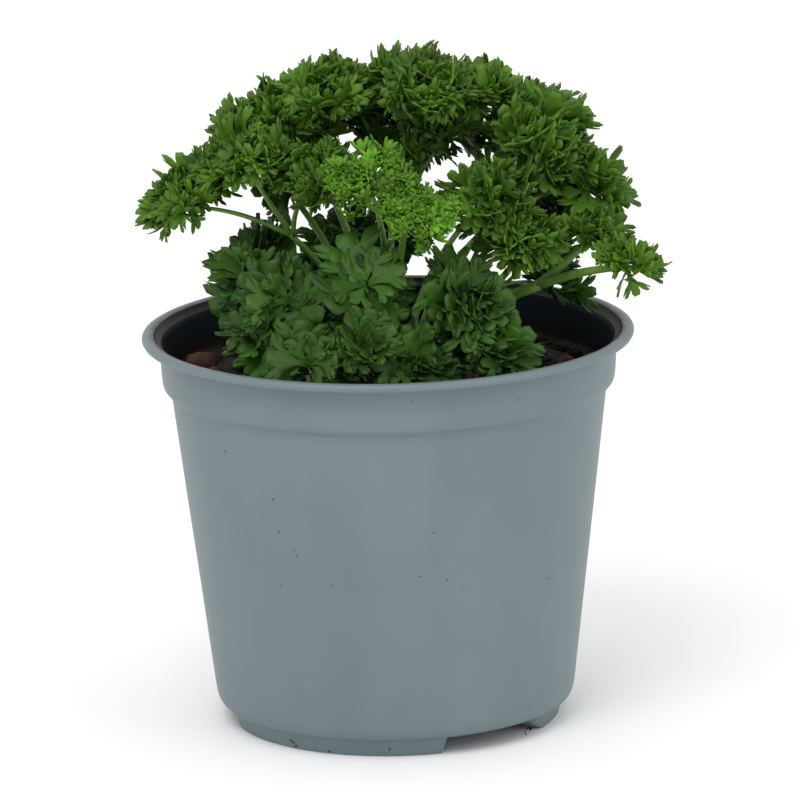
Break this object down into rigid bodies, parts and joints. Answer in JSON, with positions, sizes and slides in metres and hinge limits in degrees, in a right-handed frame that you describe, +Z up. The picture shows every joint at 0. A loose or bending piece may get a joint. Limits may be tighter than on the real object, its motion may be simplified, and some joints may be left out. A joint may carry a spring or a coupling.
{
  "type": "potted parsley",
  "caption": "Curly parsley plant with toothed, ruffled leaf clusters on thin petioles, rooted in dark potting soil in a round tapered plastic nursery pot with a rolled lip and raised feet.",
  "frame": {"origin": "centre of the plane that the pot's feet stand on, on the pot's axis", "axes": "+Z up along the pot's axis; +X to the side of the longest, lowest sprig that leans over the rim; -Y is the front"},
  "size_m": [0.1365, 0.13, 0.1776],
  "materials": {
    "pot_plastic": "satin, faintly mottled",
    "potting_soil": "matte, rough moist peat",
    "clay_lump": "matte",
    "petiole_green": "satin",
    "young_stem": "satin",
    "leaf_green": "satin",
    "low_leaf": "satin",
    "young_leaf": "satin"
  },
  "bodies": {
    "root": {"clay_lump_1": "clay_lump", "clay_lump_2": "clay_lump", "clay_lump_3": "clay_lump", "clay_lump_4": "clay_lump", "clay_lump_5": "clay_lump", "leaf_back_1": "leaf_green", "leaf_back_2": "leaf_green", "leaf_back_left": "leaf_green", "leaf_back_right": "leaf_green", "leaf_far_right_1": "leaf_green", "leaf_far_right_2": "leaf_green", "leaf_front_1": "low_leaf", "leaf_front_2": "low_leaf", "leaf_left_1": "leaf_green", "leaf_left_2": "leaf_green", "leaf_left_3": "leaf_green", "leaf_low_back": "low_leaf", "leaf_low_front": "low_leaf", "leaf_low_front_left": "low_leaf", "leaf_low_right_1": "low_leaf", "leaf_low_right_2": "low_leaf", "leaf_lower_left_1": "low_leaf", "leaf_lower_left_2": "low_leaf", "leaf_lower_left_3": "low_leaf", "leaf_lower_right_1": "low_leaf", "leaf_lower_right_2": "low_leaf", "leaf_middle_left": "low_leaf", "leaf_middle_right_1": "leaf_green", "leaf_middle_right_2": "leaf_green", "leaf_top_1": "leaf_green", "leaf_top_2": "leaf_green", "leaf_top_3": "leaf_green", "leaf_upper_left_1": "leaf_green", "leaf_upper_left_2": "leaf_green", "leaf_upper_right_1": "leaf_green", "leaf_upper_right_2": "leaf_green", "leaf_upper_right_3": "leaf_green", "leaf_young_1": "young_leaf", "leaf_young_2": "young_leaf", "pot": "pot_plastic", "potting_soil": "potting_soil", "stem_back": "petiole_green", "stem_back_left": "petiole_green", "stem_back_right": "petiole_green", "stem_far_right": "petiole_green", "stem_front": "petiole_green", "stem_left": "petiole_green", "stem_low_back": "petiole_green", "stem_low_front": "petiole_green", "stem_low_front_left": "young_stem", "stem_low_right": "petiole_green", "stem_lower_left": "petiole_green", "stem_lower_right": "petiole_green", "stem_middle_left": "petiole_green", "stem_middle_right": "petiole_green", "stem_top": "petiole_green", "stem_upper_left": "petiole_green", "stem_upper_right": "petiole_green", "stem_young": "young_stem"}
  },
  "joints": []
}
